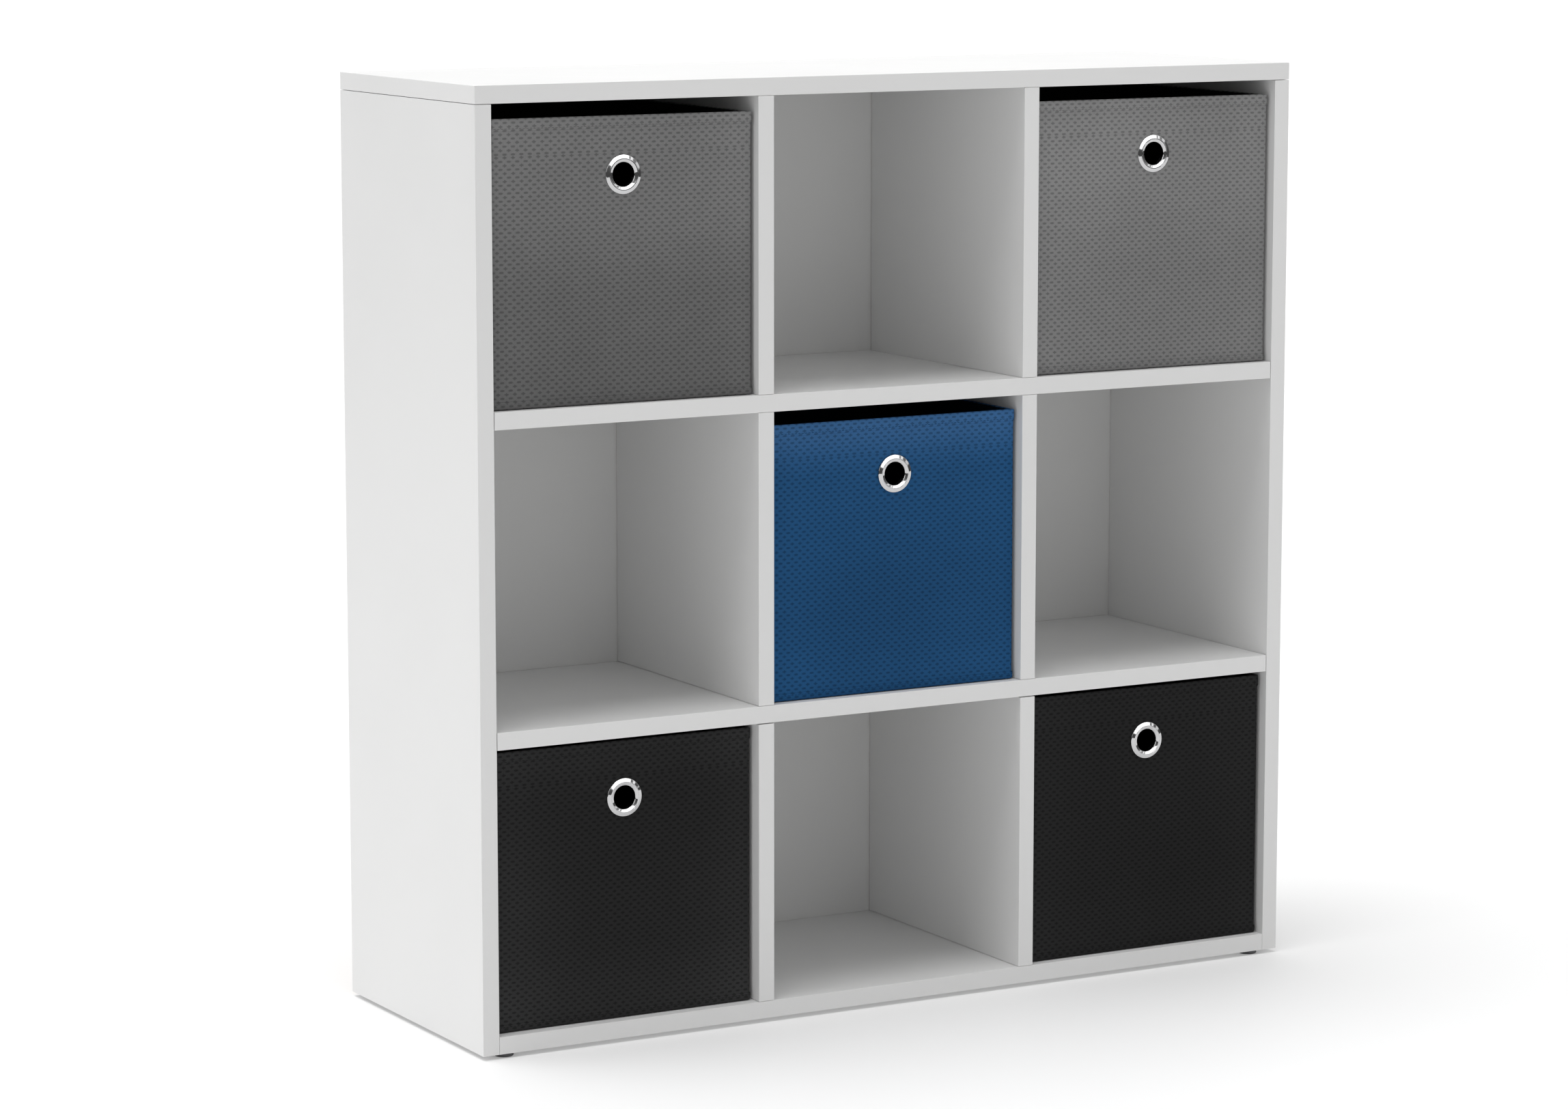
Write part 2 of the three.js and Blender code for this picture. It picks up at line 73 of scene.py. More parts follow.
# More light from the left: its bearing, where it starts and is full (as cosines), and how much.
SIDE_LIGHT = ((-0.86, 0.46, 0.22), 0.40, 0.95, 0.38)
KEY_DIRECTION = (-0.21, 0.05, 1.0)
KEY_STRENGTH = 2.36
KEY_SOFTNESS = math.radians(50)
FLOOR_RADIUS = 5.6
FLOOR_GLOW = 0.18
FLOOR_COLOUR = (0.70, 0.70, 0.70)
# The darker room that reflections see, from its floor up: elevations as sines, and brightness at each.
ROOM_RISES = (0.0, 0.16, 0.40, 0.85)
ROOM_LEVELS = (0.09, 0.14, 0.40, 0.80)
# Lit panels in that room: bearing, half width, lowest and highest elevation as sines, brightness.
PANELS = (
    ((0.326, -0.946, 0.0), 0.38, 0.10, 0.85, 2.2),
    ((0.78, -0.63, 0.0), 0.02, 0.02, 0.80, 1.3),
    ((0.88, -0.47, 0.0), 0.03, 0.02, 0.80, 0.9),
    ((-0.90, -0.44, 0.0), 0.35, 0.10, 0.60, 1.4),
    ((0.60, 0.80, 0.0), 0.50, 0.05, 0.60, 0.8),
)

# Carcass: eased edges, tape and fittings, in millimetres.
EDGE_EASE = 0.3
WELD_REACH = 0.01
EDGE_TAPE = 0.8
DOWEL_FLUTES = 14
FLUTE_DEPTH = 0.22
THREAD_LENGTH = 10.5
THREAD_PITCH = 1.8
THREAD_RADIUS = 2.5
THREAD_ROOT = 1.75
THREAD_STEPS = 60
PIN_INSET = 4.5
PINS_PER_SIDE = 8

# Fabric boxes: wall, hems, corners, the cuff and its weave's shift, mesh steps, stitches and the pitch of the
# marks, in millimetres.
WALL = 3.0
HEM_PROUD = 1.0
RIM_HEM = 12.0
FOOT_HEM = 8.0
CORNER_RADIUS = 1.5
CUFF = 36.7
CUFF_SHIFT = (4.62, 0.75)
RUN_STEPS = 44
CORNER_STEPS = 4
WALL_STEP = 8.0
STITCH_PITCH = 4.0
STITCH_LENGTH = 2.9
STITCH_RADIUS = 0.24
DOT_ACROSS = 9.24
DOT_UP = 7.82

BOXES = {
    "box_top_left": "fabric_grey",
    "box_top_right": "fabric_grey",
    "box_centre": "fabric_blue",
    "box_bottom_left": "fabric_black",
    "box_bottom_right": "fabric_black",
}
# Each box's colour in linear light: its dye, with painted light in it. The two grey boxes are one fabric, as
# are the two black ones; the right grey box is painted lighter than the left, and the right black box darker.
DYES_AND_LIGHT = {
    "box_top_left": (0.170, 0.170, 0.170),
    "box_top_right": (0.208, 0.208, 0.208),
    "box_centre": (0.0135, 0.068, 0.172),
    "box_bottom_left": (0.0185, 0.0185, 0.0187),
    "box_bottom_right": (0.0165, 0.0165, 0.0167),
}
# Painted sheen: how much lighter each box's fabric gets from the middle of a wall towards its sides.
EDGE_SHEENS = {
    "box_top_left": 0.16,
    "box_top_right": 0.08,
    "box_centre": 0.10,
    "box_bottom_left": 0.45,
    "box_bottom_right": 0.35,
}
# How dark the fabric's marks are beside the fabric round them.
MARKS = {
    "box_top_left": 0.58,
    "box_top_right": 0.58,
    "box_centre": 0.55,
    "box_bottom_left": 0.42,
    "box_bottom_right": 0.42,
}
# Painted light and shade on each box's fabric: how its tone runs from the rim, past the cuff and the belly,
# to the foot, and the heights of those places. Where the tone is above 1 the colour is also mixed towards
# grey, a painted sheen.
PAINTED_WALL_SHADES = {
    "box_top_left": (1.14, 1.00, 0.72, 0.66),
    "box_top_right": (1.06, 1.05, 0.92, 0.90),
    "box_centre": (1.70, 1.04, 0.92, 1.02),
    "box_bottom_left": (1.35, 1.00, 1.15, 1.60),
    "box_bottom_right": (1.20, 1.00, 0.95, 1.10),
}
PAINTED_SHADE_HEIGHTS = (1.0, 0.78, 0.32, 0.0)
SHEEN_GREYING = 0.25
LUMINANCE = (0.2126, 0.7152, 0.0722)
# The colour of each box's lining, painted near black for the shade inside the box.
SHADED_LININGS = {
    "box_top_left": (0.020, 0.020, 0.020),
    "box_top_right": (0.020, 0.020, 0.020),
    "box_centre": (0.006, 0.016, 0.028),
    "box_bottom_left": (0.010, 0.010, 0.010),
    "box_bottom_right": (0.010, 0.010, 0.010),
}


# Node trees.

class Tree:
    """The node tree of a material or a world, with short calls for the nodes that they share."""

    def __init__(self, owner, shader, output):
        owner.use_nodes = True
        self.owner = owner
        self.nodes = owner.node_tree.nodes
        self.links = owner.node_tree.links
        self.nodes.clear()
        self.shader = self.nodes.new(shader)
        self.links.new(self.shader.outputs[0], self.nodes.new(output).inputs["Surface"])

    def feed(self, socket, value):
        """Sets a socket, or links it where the value is another node's output."""
        if isinstance(value, bpy.types.NodeSocket):
            self.links.new(value, socket)
        elif hasattr(value, "__len__") and len(value) == 3 and socket.type == "RGBA":
            socket.default_value = (*value, 1.0)
        else:
            socket.default_value = value

    def surface(self, **sockets):
        """Feeds the shader's sockets, named with underscores for spaces."""
        for name, value in sockets.items():
            self.feed(self.shader.inputs[name.replace("_", " ")], value)

    def math(self, operation, *values, clamp=False):
        node = self.nodes.new("ShaderNodeMath")
        node.operation = operation
        node.use_clamp = clamp
        for socket, value in zip(node.inputs, values):
            self.feed(socket, value)
        return node.outputs[0]

    def vector(self, operation, *values):
        node = self.nodes.new("ShaderNodeVectorMath")
        node.operation = operation
        for socket, value in zip(node.inputs, values):
            self.feed(socket, value)
        return node.outputs[0]

    def dot(self, first, second):
        node = self.nodes.new("ShaderNodeVectorMath")
        node.operation = "DOT_PRODUCT"
        self.feed(node.inputs[0], first)
        self.feed(node.inputs[1], second)
        return node.outputs["Value"]

    def split(self, vector):
        node = self.nodes.new("ShaderNodeSeparateXYZ")
        self.feed(node.inputs[0], vector)
        return node.outputs

    def mix(self, share, first, second):
        """A colour between two others."""
        node = self.nodes.new("ShaderNodeMix")
        node.data_type = "RGBA"
        self.feed(node.inputs["Factor"], share)
        self.feed(node.inputs[6], first)
        self.feed(node.inputs[7], second)
        return node.outputs[2]

    def number_mix(self, share, first, second):
        """A number between two others."""
        node = self.nodes.new("ShaderNodeMix")
        self.feed(node.inputs[0], share)
        self.feed(node.inputs[2], first)
        self.feed(node.inputs[3], second)
        return node.outputs[0]

    def shade(self, colour, factor):
        """A colour made lighter or darker by a number."""
        return self.vector("SCALE", colour, (0, 0, 0), (0, 0, 0), factor)

    def range(self, value, low, high, to_low, to_high):
        """A smooth step from one range to another."""
        node = self.nodes.new("ShaderNodeMapRange")
        node.interpolation_type = "SMOOTHSTEP"
        for socket, number in zip(node.inputs, (value, low, high, to_low, to_high)):
            self.feed(socket, number)
        return node.outputs[0]

    def steps(self, value, stops, levels):
        """A smooth run through levels up to 2, at given stops between 0 and 1. A ramp holds them halved."""
        node = self.nodes.new("ShaderNodeValToRGB")
        node.color_ramp.interpolation = "EASE"
        for spare in list(node.color_ramp.elements)[1:]:
            node.color_ramp.elements.remove(spare)
        first, *rest = sorted(zip(stops, (level / 2 for level in levels)))
        node.color_ramp.elements[0].position = first[0]
        node.color_ramp.elements[0].color = (first[1], first[1], first[1], 1.0)
        for stop, level in rest:
            node.color_ramp.elements.new(stop).color = (level, level, level, 1.0)
        self.feed(node.inputs[0], value)
        return self.math("MULTIPLY", node.outputs[0], 2.0)

    def place(self, stretch=(1, 1, 1), shift=(0, 0, 0)):
        """A point on the piece, in metres, stretched and shifted."""
        coordinates = self.nodes.new("ShaderNodeTexCoord")
        node = self.nodes.new("ShaderNodeMapping")
        self.feed(node.inputs["Vector"], coordinates.outputs["Object"])
        self.feed(node.inputs["Scale"], stretch)
        self.feed(node.inputs["Location"], shift)
        return node.outputs[0]

    def normal(self):
        return self.split(self.nodes.new("ShaderNodeNewGeometry").outputs["Normal"])

    def noise(self, place, scale, detail=2.0, roughness=0.5):
        node = self.nodes.new("ShaderNodeTexNoise")
        self.feed(node.inputs["Vector"], place)
        self.feed(node.inputs["Scale"], scale)
        self.feed(node.inputs["Detail"], detail)
        self.feed(node.inputs["Roughness"], roughness)
        return node.outputs["Fac"]

    def cells(self, place, scale):
        node = self.nodes.new("ShaderNodeTexVoronoi")
        self.feed(node.inputs["Vector"], place)
        self.feed(node.inputs["Scale"], scale)
        return node.outputs

    def bump(self, height, depth, strength):
        node = self.nodes.new("ShaderNodeBump")
        self.feed(node.inputs["Height"], height)
        self.feed(node.inputs["Distance"], depth)
        self.feed(node.inputs["Strength"], strength)
        return node.outputs[0]


def material_tree(name):
    return Tree(bpy.data.materials.new(name), "ShaderNodeBsdfPrincipled", "ShaderNodeOutputMaterial")


def centred(tree, value, spread):
    """A noise value turned into a factor round 1."""
    return tree.math("MULTIPLY_ADD", tree.math("SUBTRACT", value, 0.5), spread, 1.0)


# Materials of the carcass.

def chipboard_colour(tree):
    """Pressed wood flakes, as a raw edge shows them."""
    flakes = tree.cells(tree.place((1, 1, 1.7)), 420)
    grain = tree.noise(tree.place(), 900, 4)
    flake = tree.mix(tree.split(flakes["Color"])[0], (0.30, 0.19, 0.10), (0.62, 0.46, 0.28))
    return tree.shade(flake, centred(tree, grain, 0.8))


def melamine():
    """White melamine board: a fine pearl on its faces, edge tape on its front, and a raw rear edge."""
    tree = material_tree("white_melamine")
    place = tree.place()
    drift = tree.noise(tree.place((1, 1, 1), (3, 5, 7)), 3.0, 2)
    pearl = tree.noise(place, 1400, 2)
    white = tree.shade((0.745, 0.745, 0.742), centred(tree, drift, 0.03))
    tape = tree.math("SUBTRACT", tree.split(place)[1], cad_low.y + EDGE_TAPE * MM)
    line = tree.range(tree.math("ABSOLUTE", tape), 0.05 * MM, 0.16 * MM, 1.0, 0.0)
    white = tree.mix(tree.math("MULTIPLY", line, 0.14), white, (0.46, 0.44, 0.40))
    rear = tree.range(tree.normal()[1], 0.80, 0.93, 0.0, 1.0)
    colour = tree.mix(rear, white, chipboard_colour(tree))
    smudge = tree.noise(tree.place((1, 1, 1), (9, 1, 4)), 9.0, 4)
    gloss = tree.range(smudge, 0.2, 0.8, 0.34, 0.46)
    roughness = tree.math("MULTIPLY_ADD", rear, 0.45, gloss)
    raw = tree.noise(place, 700, 5)
    height = tree.math("ADD", pearl, tree.math("MULTIPLY", tree.math("MULTIPLY", raw, rear), 6.0))
    tree.surface(Base_Color=colour, Roughness=roughness, Normal=tree.bump(height, 0.03 * MM, 0.35))
    tree.shader.inputs["Specular IOR Level"].default_value = 0.3
    return tree.owner


def hardboard():
    """The back board: white lacquer inside, brown pressed fibre with a screen pattern behind."""
    tree = material_tree("back_hardboard")
    place = tree.place()
    fibre = tree.noise(tree.place((1, 1, 0.35)), 600, 6, 0.7)
    blotch = tree.noise(place, 14, 4)
    brown = tree.mix(fibre, (0.135, 0.072, 0.036), (0.275, 0.165, 0.092))
    brown = tree.shade(brown, centred(tree, blotch, 0.5))
    white = tree.shade((0.70, 0.70, 0.695), centred(tree, blotch, 0.03))
    behind = tree.range(tree.normal()[1], 0.3, 0.7, 0.0, 1.0)
    screen = tree.cells(tree.place((1, 1, 1)), 700)["Distance"]
    height = tree.math("MULTIPLY", tree.math("ADD", screen, fibre), behind)
    tree.surface(
        Base_Color=tree.mix(behind, white, brown),
        Roughness=tree.math("MULTIPLY_ADD", behind, 0.28, 0.45),
        Normal=tree.bump(height, 0.12 * MM, 0.5),
    )
    return tree.owner


def moulded_plastic():
    tree = material_tree("dark_plastic")
    speck = tree.noise(tree.place(), 1500, 3)
    wear = tree.noise(tree.place((1, 1, 1), (2, 2, 2)), 120, 3)
    tree.surface(
        Base_Color=tree.shade((0.055, 0.055, 0.058), centred(tree, wear, 0.5)),
        Roughness=tree.range(wear, 0.3, 0.7, 0.42, 0.6),
        Normal=tree.bump(speck, 0.05 * MM, 0.4),
    )
    return tree.owner


def beech():
    tree = material_tree("beech")
    grain = tree.noise(tree.place((1, 1, 1)), 320, 5, 0.65)
    fleck = tree.cells(tree.place(), 1200)["Distance"]
    colour = tree.mix(grain, (0.42, 0.26, 0.13), (0.68, 0.49, 0.29))
    tree.surface(
        Base_Color=tree.shade(colour, centred(tree, fleck, 0.3)),
        Roughness=0.7,
        Normal=tree.bump(grain, 0.1 * MM, 0.5),
    )
    return tree.owner


def metal(name, colour, roughness, grain_scale, grain_depth):
    """Bare metal with a fine grain and soft stains."""
    tree = material_tree(name)
    grain = tree.noise(tree.place(), grain_scale, 4, 0.6)
    stain = tree.noise(tree.place((1, 1, 1), (4, 3, 2)), 150, 3)
    tree.surface(
        Base_Color=tree.shade(colour, centred(tree, stain, 0.16)),
        Roughness=tree.range(stain, 0.25, 0.75, roughness * 0.8, roughness * 1.3),
        Normal=tree.bump(grain, grain_depth * MM, 0.3),
    )
    tree.shader.inputs["Metallic"].default_value = 1.0
    return tree.owner


# Materials of the boxes.

def dot_mask(tree, weave):
    """Rows of small crosses and small bars that take turns, each row half a step along from the last."""
    cell = tree.vector("DIVIDE", weave, (DOT_ACROSS * MM, DOT_UP * MM, 1.0))
    marks = []
    for shift, bars in ((0.5, ((2.2, 0.80), (0.95, 1.5))), (0.0, ((2.25, 1.05),))):
        phase = tree.vector("FRACTION", tree.vector("ADD", cell, (shift, shift, 0.0)))
        offset = tree.vector("SUBTRACT", phase, (0.5, 0.5, 0.0))
        offset = tree.vector("MULTIPLY", offset, (DOT_ACROSS, DOT_UP, 0.0))
        across, up, _ = tree.split(offset)
        for half_across, half_up in bars:
            wide, tall = (
                tree.math("POWER", tree.math("ABSOLUTE", tree.math("DIVIDE", way, half)), 2.6)
                for way, half in ((across, half_across), (up, half_up))
            )
            marks.append(tree.range(tree.math("ADD", wide, tall), 0.1, 2.2, 1.0, 0.0))
    mask = marks[0]
    for mark in marks[1:]:
        mask = tree.math("MAXIMUM", mask, mark)
    return mask


def fabric(name, dye_and_light, seed, height, painted_shades=(1.0, 1.0, 1.0, 1.0), marks=None, sides=None):
    """Pressed non-woven fabric with small sunk marks, a fibrous face and a slow drift of tone. Painted light
    and shade run from its rim to its foot, and painted sheen lightens it towards the sides of a wall, where
    given.
    """
    tree = material_tree(name)
    map_node = tree.nodes.new("ShaderNodeUVMap")
    map_node.uv_map = "weave"
    along, up, _ = tree.split(map_node.outputs[0])
    cuff = tree.math("GREATER_THAN", up, height - CUFF * MM)
    shifted = tree.nodes.new("ShaderNodeCombineXYZ")
    tree.feed(shifted.inputs[0], tree.math("MULTIPLY_ADD", cuff, CUFF_SHIFT[0] * MM, along))
    tree.feed(shifted.inputs[1], tree.math("MULTIPLY_ADD", cuff, CUFF_SHIFT[1] * MM, up))
    weave = shifted.outputs[0]
    mask = dot_mask(tree, weave) if marks else None
    place = tree.place((1, 1, 1), (seed * 1.7, seed * 2.3, seed * 0.9))
    drift = tree.noise(place, 5.0, 2, 0.4)
    cloud = tree.noise(place, 40.0, 4, 0.6)
    fibre = tree.noise(place, 800.0, 5, 0.75)
    tone = tree.math("MULTIPLY", centred(tree, drift, 0.36), centred(tree, cloud, 0.16))
    # Painted light and shade from the rim down to the foot.
    painted_level = tree.steps(tree.math("DIVIDE", up, height), PAINTED_SHADE_HEIGHTS, painted_shades)
    tone = tree.math("MULTIPLY", tone, painted_level)
    tone = tree.math("MULTIPLY", tone, centred(tree, fibre, 0.42))
    relief = tree.math("MULTIPLY", fibre, 0.35)
    # Painted sheen: the fabric gets lighter towards the sides of the wall.
    if sides:
        middle, half, lift = sides
        across = tree.math("DIVIDE", tree.math("SUBTRACT", tree.split(tree.place())[0], middle), half)
        across = tree.math("POWER", tree.math("ABSOLUTE", across), 3.0)
        tone = tree.math("MULTIPLY", tone, tree.math("MULTIPLY_ADD", across, lift, 1.0 - lift * 0.2))
    if marks:
        tone = tree.math("MULTIPLY", tone, tree.math("MULTIPLY_ADD", mask, marks - 1.0, 1.08))
        relief = tree.math("SUBTRACT", relief, mask)
    grey = sum(share * part for share, part in zip(LUMINANCE, dye_and_light))
    # Painted sheen: where the painted light is above 1, the colour goes greyer.
    sheen_grey = tree.math("MULTIPLY", tree.math("SUBTRACT", painted_level, 1.0, clamp=True), SHEEN_GREYING)
    tree.surface(
        # The colour holds painted light and shade as well as the dye.
        Base_Color=tree.shade(tree.mix(sheen_grey, dye_and_light, (grey, grey, grey)), tone),
        Roughness=tree.range(fibre, 0.3, 0.7, 0.78, 0.92),
        Normal=tree.bump(relief, 0.12 * MM, 0.55),
    )
    tree.shader.inputs["Specular IOR Level"].default_value = 0.06
    tree.shader.inputs["Sheen Weight"].default_value = 0.01
    tree.shader.inputs["Sheen Roughness"].default_value = 0.5
    return tree.owner


def thread(name, dye_and_light):
    """Twisted sewing thread."""
    tree = material_tree(name)
    twist = tree.noise(tree.place(), 2600, 3)
    tree.surface(
        Base_Color=tree.shade(dye_and_light, centred(tree, twist, 0.6)),
        Roughness=0.8,
        Normal=tree.bump(twist, 0.08 * MM, 0.6),
    )
    tree.shader.inputs["Specular IOR Level"].default_value = 0.06
    return tree.owner


def chrome():
    """Bright plating: very fine turning marks, faint stains and soft edges to its reflections."""
    tree = material_tree("bright_plating")
    mark = tree.noise(tree.place(), 3200, 3)
    stain = tree.noise(tree.place((1, 1, 1), (6, 2, 8)), 260, 3)
    tree.surface(
        Base_Color=tree.shade((0.54, 0.54, 0.545), centred(tree, stain, 0.05)),
        Roughness=tree.range(stain, 0.25, 0.75, 0.03, 0.08),
        Normal=tree.bump(mark, 0.006 * MM, 0.3),
    )
    tree.shader.inputs["Metallic"].default_value = 1.0
    return tree.owner


# Meshes.

def new_object(name, mesh, *materials):
    piece = bpy.data.objects.new(name, mesh)
    bpy.context.scene.collection.objects.link(piece)
    for material in materials:
        mesh.materials.append(material)
    return piece


def smooth(mesh, angle=35.0):
    mesh.shade_smooth()
    mesh.set_sharp_from_angle(angle=math.radians(angle))


def finish_piece(piece, body, slot, *nodes):
    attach(piece, body)
    if nodes:
        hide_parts(*nodes)
    return piece


def loops_to_mesh(name, loops, closed=False):
    """Joins loops of points into a skin. The first and last loops are capped, or joined where closed."""
    shape = bmesh.new()
    rows = [[shape.verts.new(point) for point in loop] for loop in loops]
    pairs = list(zip(rows, rows[1:]))
    if closed:
        pairs.append((rows[-1], rows[0]))
    for low, high in pairs:
        for i in range(len(low)):
            j = (i + 1) % len(low)
            shape.faces.new((low[i], low[j], high[j], high[i]))
    if not closed:
        shape.faces.new(rows[0][::-1])
        shape.faces.new(rows[-1])
    bmesh.ops.recalc_face_normals(shape, faces=shape.faces)
    mesh = bpy.data.meshes.new(name)
    shape.to_mesh(mesh)
    shape.free()
    return mesh


def turned(name, outline, sides, closed=False, radius_at=None):
    """An outline of (radius, height) points, in millimetres, turned about Z."""
    loops = []
    for radius, height in outline:
        loop = []
        for i in range(sides):
            turn = 2 * math.pi * i / sides
            r = (radius_at(turn, radius, height) if radius_at else radius) * MM
            loop.append((r * math.cos(turn), r * math.sin(turn), height * MM))
        loops.append(loop)
    mesh = loops_to_mesh(name, loops, closed)
    smooth(mesh)
    return mesh


def turn_to(direction, place):
    """The matrix that takes Z onto a direction, at a place."""
    turn = Vector((0, 0, 1)).rotation_difference(Vector(direction))
    return Matrix.Translation(place) @ turn.to_matrix().to_4x4()


def keep_modifiers(piece):
    """Applies a piece's modifiers to its mesh."""
    mesh = bpy.data.meshes.new_from_object(piece.evaluated_get(bpy.context.evaluated_depsgraph_get()))
    piece.modifiers.clear()
    piece.data = mesh


def cut(piece, *meshes):
    """Cuts the shapes of closed meshes out of a piece."""
    for mesh in meshes:
        tool = new_object("cutter", mesh)
        modifier = piece.modifiers.new("cut", "BOOLEAN")
        modifier.object = tool
        modifier.solver = "EXACT"
        bpy.context.view_layer.update()
        keep_modifiers(piece)
        bpy.data.objects.remove(tool)


def block(low, high):
    """A closed box mesh between two corners, for cutting."""
    shape = bmesh.new()
    bmesh.ops.create_cube(shape, size=1.0)
    for vertex in shape.verts:
        vertex.co = [a + (b - a) * (c + 0.5) for a, b, c in zip(low, high, vertex.co)]
    mesh = bpy.data.meshes.new("block")
    shape.to_mesh(mesh)
    shape.free()
    return mesh


def arc(centre, radius, start, end, steps):
    """Points of an arc, from one angle to another in degrees."""
    points = []
    for i in range(steps + 1):
        turn = math.radians(start + (end - start) * i / steps)
        points.append((centre[0] + radius * math.cos(turn), centre[1] + radius * math.sin(turn)))
    return points


# Carcass.

def dress_boards():
    """The boards keep their CAD shape, with eased edges, and get melamine or hardboard."""
    board = melamine()
    back = hardboard()
    for name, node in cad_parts.items():
        if not (name.endswith("_panel") or "_shelf" in name or "_divider_" in name):
            continue
        weld = node.modifiers.new("weld", "WELD")
        weld.merge_threshold = WELD_REACH * MM
        edge = node.modifiers.new("eased_edges", "BEVEL")
        edge.width = EDGE_EASE * MM
        edge.segments = 2
        edge.limit_method = "ANGLE"
        edge.angle_limit = math.radians(50)
        edge.harden_normals = True
        node.modifiers.new("even_shading", "WEIGHTED_NORMAL").keep_sharp = True
        node.data.materials.clear()
        node.data.materials.append(back if name == "back_panel" else board)


def add_glides():
    """Round plastic glides with soft rims and a nail of the same plastic, one at each corner."""
    plastic = moulded_plastic()
    for name in [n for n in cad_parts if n.startswith("foot_")]:
        low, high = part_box(name)
        radius = (high.x - low.x) / 2 / MM
        pad = (carcass_underside() - low.z) / MM - 0.3
        nail_tip = (high.z - low.z) / MM
        outline = [(0.2, 0.0), (radius - 1.6, 0.0)]
        outline += arc((radius - 1.4, 1.4), 1.4, -80, 0, 6)
        outline += arc((radius - 0.5, pad - 0.5), 0.5, 0, 90, 3)
        outline += [(1.0, pad), (1.0, nail_tip - 2.0), (0.2, nail_tip)]
        mesh = turned(f"{name}_glide", outline, 64)
        mesh.transform(Matrix.Translation(((low.x + high.x) / 2, (low.y + high.y) / 2, low.z)))
        finish_piece(new_object(f"{name}_glide", mesh, plastic), "carcass", "foot_plastic", name)


def carcass_underside():
    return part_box("bottom_panel")[0].z


def fitting_axis(name):
    """The way a corner fitting's bolt or dowel points, and the middle of the node's box."""
    low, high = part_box(name)
    middle = (low + high) / 2
    if "_top_" in name:
        return Vector((0, 0, 1)), middle
    return Vector((1 if middle.x > 0 else -1, 0, 0)), middle


def add_fittings():
    """Cam discs, threaded cam bolts and fluted dowels at the carcass's corners."""
    zinc = metal("cast_zinc", (0.46, 0.47, 0.49), 0.38, 900, 0.05)
    steel = metal("plated_steel", (0.62, 0.62, 0.63), 0.25, 2200, 0.02)
    wood = beech()
    for name in [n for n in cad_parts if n.startswith("dowel_")]:
        axis, middle = fitting_axis(name)
        low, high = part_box(name)
        half = max(high - low) / 2 / MM
        outline = [(0.3, -half), (3.2, -half), (4.0, -half + 0.9)]
        outline += [(4.0, half - 0.9), (3.2, half), (0.3, half)]
        mesh = turned(f"{name}_fluted", outline, 8 * DOWEL_FLUTES, radius_at=fluted_radius)
        mesh.transform(turn_to(axis, middle))
        finish_piece(new_object(f"{name}_fluted", mesh, wood), "carcass", "dowel_beech", name)
    for name in [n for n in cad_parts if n.startswith("cam_bolt_")]:
        axis, middle = fitting_axis(name)
        low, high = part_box(name)
        half = max(high - low) / 2 / MM
        mesh = turned(f"{name}_threaded", bolt_outline(half), 32, radius_at=thread_radius(half))
        mesh.transform(turn_to(axis, middle))
        finish_piece(new_object(f"{name}_threaded", mesh, steel), "carcass", "bolt_steel", name)
    for name in [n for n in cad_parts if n.startswith("cam_") and "bolt" not in n]:
        add_cam(name, zinc)


def fluted_radius(turn, radius, height):
    """A dowel's radius, with flutes along its sides and none at its narrow ends."""
    return radius - (FLUTE_DEPTH * max(0.0, math.cos(DOWEL_FLUTES * turn)) if radius > 3.5 else 0.0)


def bolt_outline(half):
    """Head, neck and collar of a cam bolt, then close steps along its thread. The head is at -half."""
    head = [(0.3, 0.0), (3.0, 0.0), (3.5, 0.5), (3.5, 4.4), (3.0, 5.0)]
    neck = [(2.2, 5.6), (2.2, 24.0), (3.4, 24.2), (3.5, 25.6), (THREAD_RADIUS, 26.0)]
    outline = [(radius, -half + along) for radius, along in head + neck]
    start = half - THREAD_LENGTH + 0.4
    for i in range(1, THREAD_STEPS + 1):
        outline.append((THREAD_RADIUS, start + (half - start) * i / THREAD_STEPS))
    return outline + [(0.3, half)]


def thread_radius(half):
    """The crest and root of a coarse thread that tapers over its last millimetres."""
    def radius(turn, r, height):
        if r != THREAD_RADIUS:
            return r
        tip = min(1.0, max(0.35, (half - height) / 2.5))
        phase = (height / THREAD_PITCH - turn / (2 * math.pi)) % 1.0
        ridge = max(0.0, 1.0 - abs(phase - 0.5) / 0.22)
        return (THREAD_ROOT + (THREAD_RADIUS - THREAD_ROOT) * ridge) * tip
    return radius


def add_cam(name, material):
    """A cam disc: a round drum with a cross for the driver, an arrow on its rim and a mouth for the bolt."""
    low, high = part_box(name)
    middle = (low + high) / 2
    top = "_top_" in name
    side = 1 if middle.x > 0 else -1
    face = Vector((-side, 0, 0)) if top else Vector((0, 0, -1))
    ahead = Vector((0, 0, 1)) if top else Vector((side, 0, 0))
    length = (high.x - low.x if top else high.z - low.z) / MM
    outline = [(0.3, -length), (7.0, -length), (7.5, -length + 0.5)]
    outline += [(7.5, -0.6), (7.3, -0.6), (7.3, -0.3), (7.0, 0.0), (0.3, 0.0)]
    drum = new_object(f"{name}_drum", turned(f"{name}_drum", outline, 64), material)
    cross = [
        block((-4.2 * MM, -0.9 * MM, -2.4 * MM), (4.2 * MM, 0.9 * MM, MM)),
        block((-0.9 * MM, -4.2 * MM, -2.4 * MM), (0.9 * MM, 4.2 * MM, MM)),
    ]
    arrow = block((5.3 * MM, -0.35 * MM, -0.4 * MM), (6.9 * MM, 0.35 * MM, MM))
    mouth = block((-2.8 * MM, -3.8 * MM, -(length + 1) * MM), (8.5 * MM, 3.8 * MM, -5.0 * MM))
    cut(drum, *cross, arrow, mouth)
    smooth(drum.data)
    turn = Matrix((ahead, face.cross(ahead), face)).transposed().to_4x4()
    at = middle + face * (length / 2 * MM)
    drum.data.transform(Matrix.Translation(at) @ turn)
    finish_piece(drum, "carcass", "cam_zinc", name)


